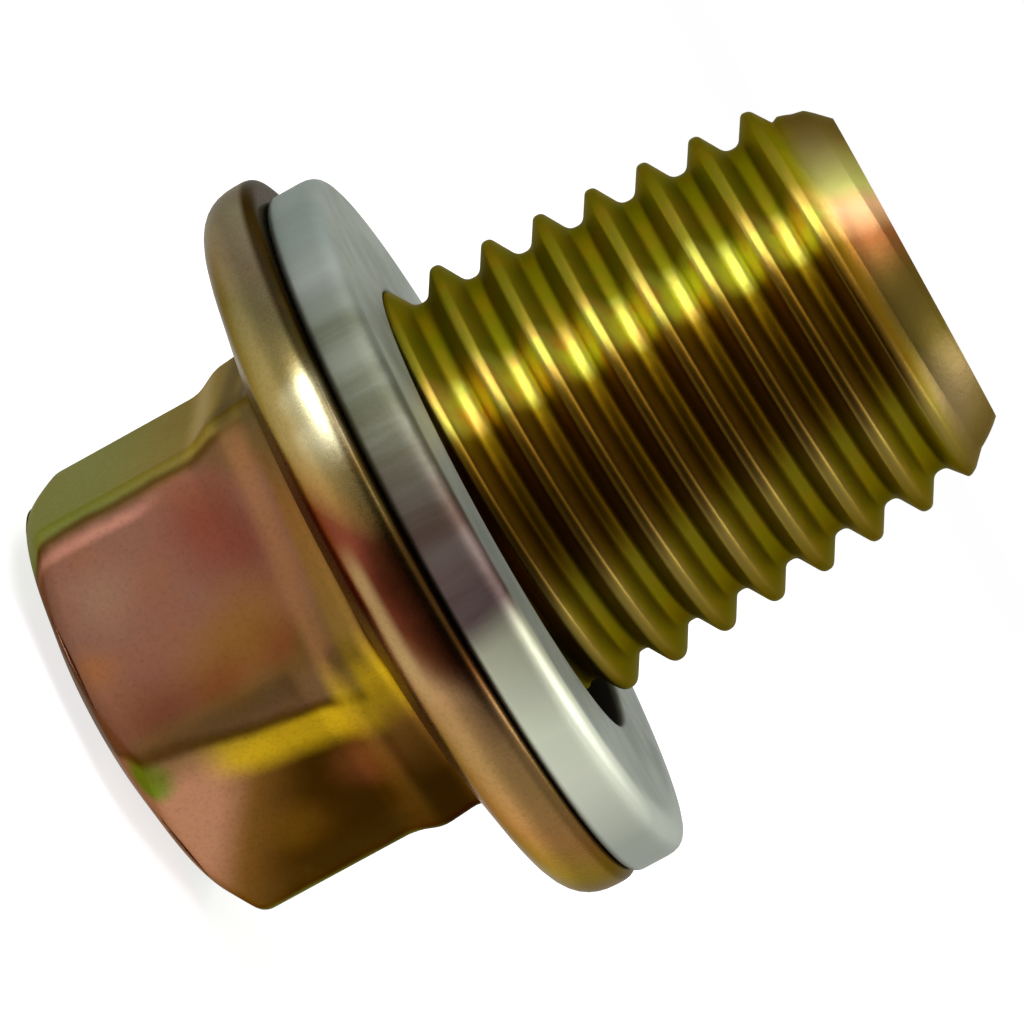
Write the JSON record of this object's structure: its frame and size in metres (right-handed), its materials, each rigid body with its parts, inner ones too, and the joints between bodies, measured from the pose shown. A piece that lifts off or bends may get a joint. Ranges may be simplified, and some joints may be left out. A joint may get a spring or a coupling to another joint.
{
  "type": "oil drain plug",
  "caption": "Flanged hexagon-head drain plug with a right-hand metric fine thread and a loose flat sealing washer lying on its flange.",
  "frame": {"origin": "centre of the small flat on the crowned end of the head, the surface that the plug stands on", "axes": "+Z along the thread's axis, from the head to the tip; X through two corners of the hexagon"},
  "size_m": [0.0208, 0.0208, 0.0241],
  "materials": {
    "yellow_zinc_steel": "satin steel with a yellow-green and pink zinc passivate",
    "soft_aluminium": "matt stamped soft aluminium"
  },
  "bodies": {
    "root": {"plug_body": "yellow_zinc_steel", "sealing_washer": "soft_aluminium"}
  },
  "joints": []
}
